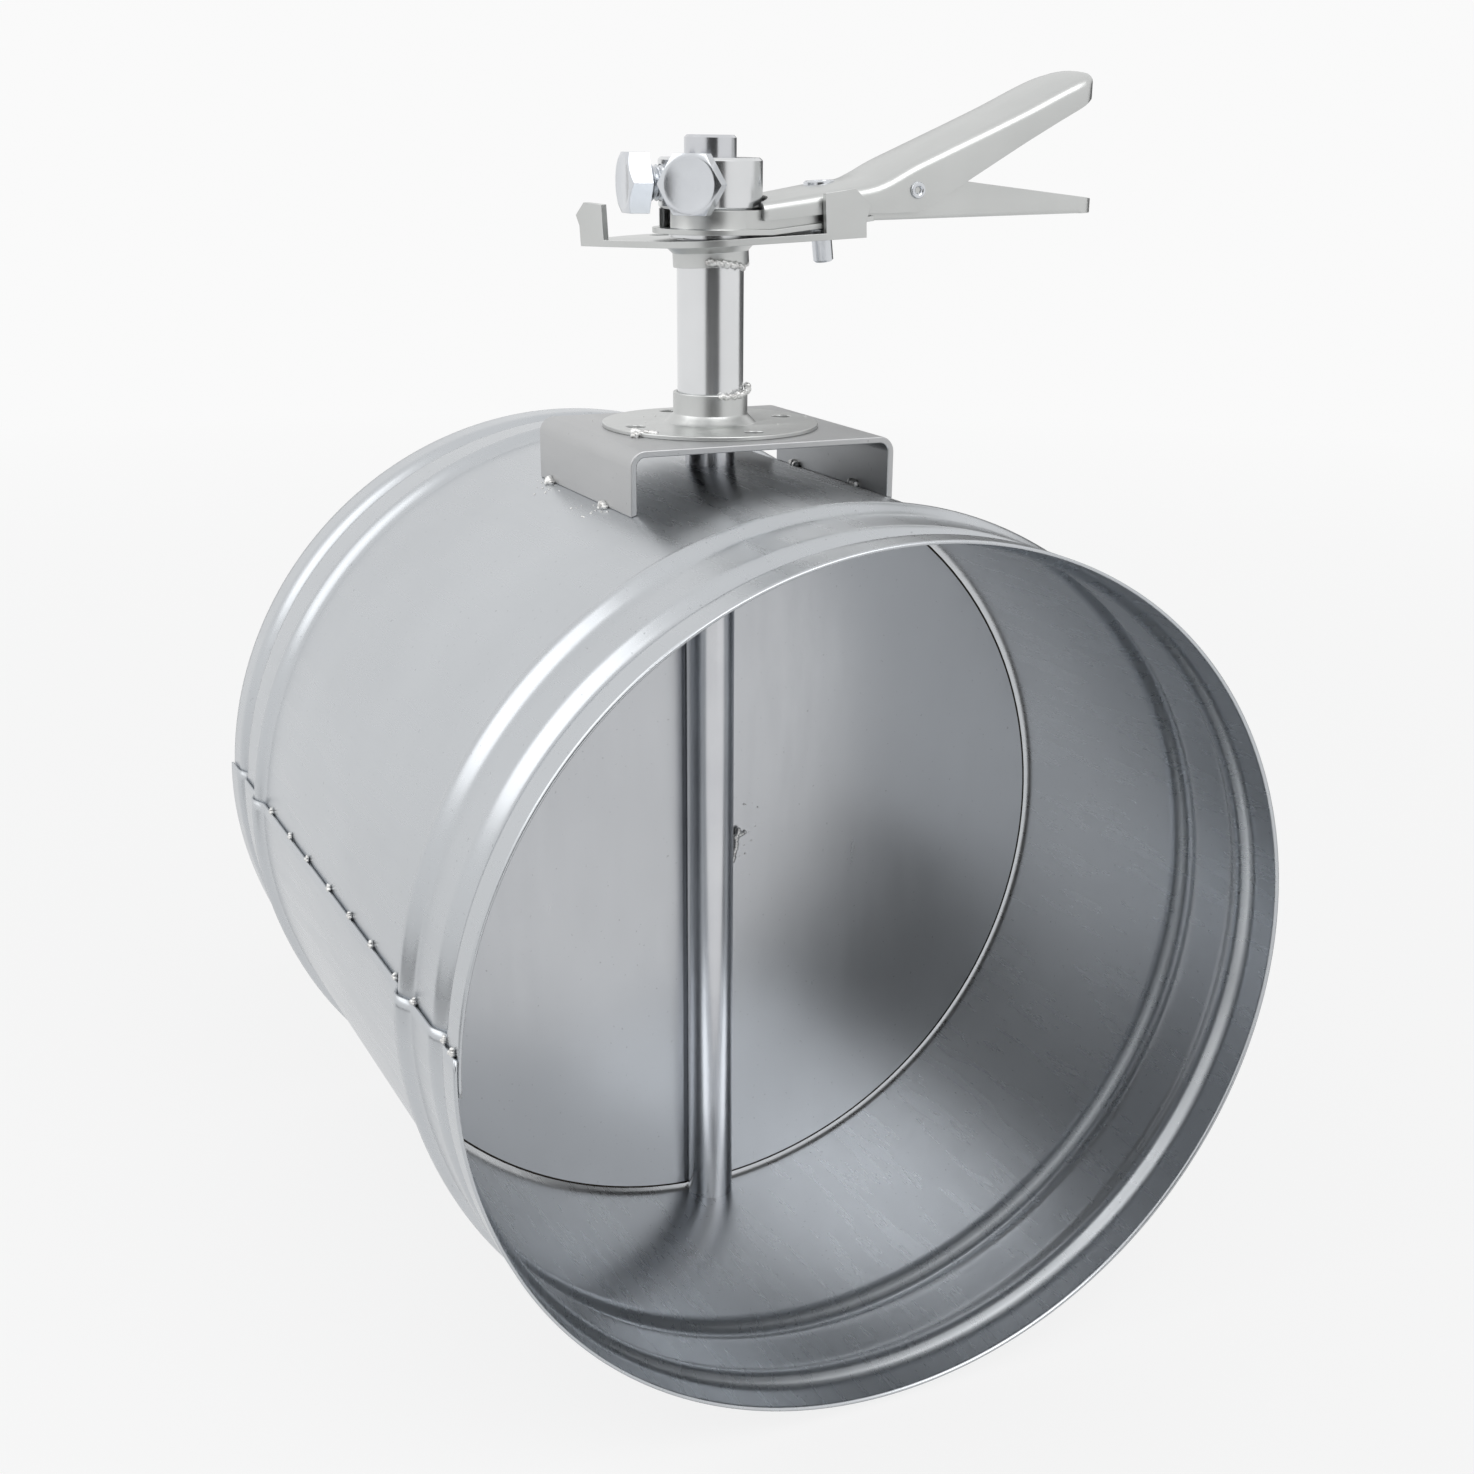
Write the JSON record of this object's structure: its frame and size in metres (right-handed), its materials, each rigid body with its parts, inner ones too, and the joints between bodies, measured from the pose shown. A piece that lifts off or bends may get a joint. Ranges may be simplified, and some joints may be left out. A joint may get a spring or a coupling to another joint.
{
  "type": "volume control damper",
  "caption": "Round duct damper: rolled casing with beads, single pivoting blade on a shaft, stand-off bracket and squeeze-lever handle that locks in a slotted quadrant.",
  "frame": {"origin": "centre of the duct, on the shaft axis", "axes": "+Z along the shaft towards the handle, Y along the duct with the front opening at -Y, closed handle along +X"},
  "size_m": [0.2044, 0.207, 0.2904],
  "materials": {
    "galvanised_sheet": "matte hot-dip galvanised sheet",
    "zinc_plate": "bright zinc plate",
    "bolt_zinc": "blue zinc plate",
    "weld_metal": "bare weld bead",
    "spring_steel": "drawn wire"
  },
  "bodies": {
    "casing": {"duct_casing": "galvanised_sheet", "standoff_bracket": "galvanised_sheet", "bracket_welds": "weld_metal", "base_flange": "zinc_plate", "base_flange_weld": "weld_metal", "standoff_tube": "zinc_plate", "locking_quadrant": "zinc_plate", "lower_collar_weld": "weld_metal", "upper_collar_weld": "weld_metal"},
    "blade_assembly": {"shaft": "zinc_plate", "blade": "galvanised_sheet", "blade_weld": "weld_metal", "hub": "zinc_plate", "set_bolt_front": "bolt_zinc", "set_bolt_side": "bolt_zinc", "handle_base": "zinc_plate", "pivot_rivet": "bolt_zinc", "return_spring": "spring_steel"},
    "squeeze_grip": {"squeeze_lever": "zinc_plate", "locking_pin": "zinc_plate"}
  },
  "joints": [
    {"name": "turn", "type": "hinge", "parent": "casing", "child": "blade_assembly", "pos_m": [0, 0, 0], "axis": [0, 0, 1], "range_deg": [0, 90]},
    {"name": "squeeze", "type": "hinge", "parent": "blade_assembly", "child": "squeeze_grip", "pos_m": [0.0474, 0, 0.1623], "axis": [0, 1, 0], "range_deg": [0, 22], "stiffness_Nm_per_rad": 0.4, "springref_deg": -34.38, "deforming": ["return_spring"]}
  ]
}
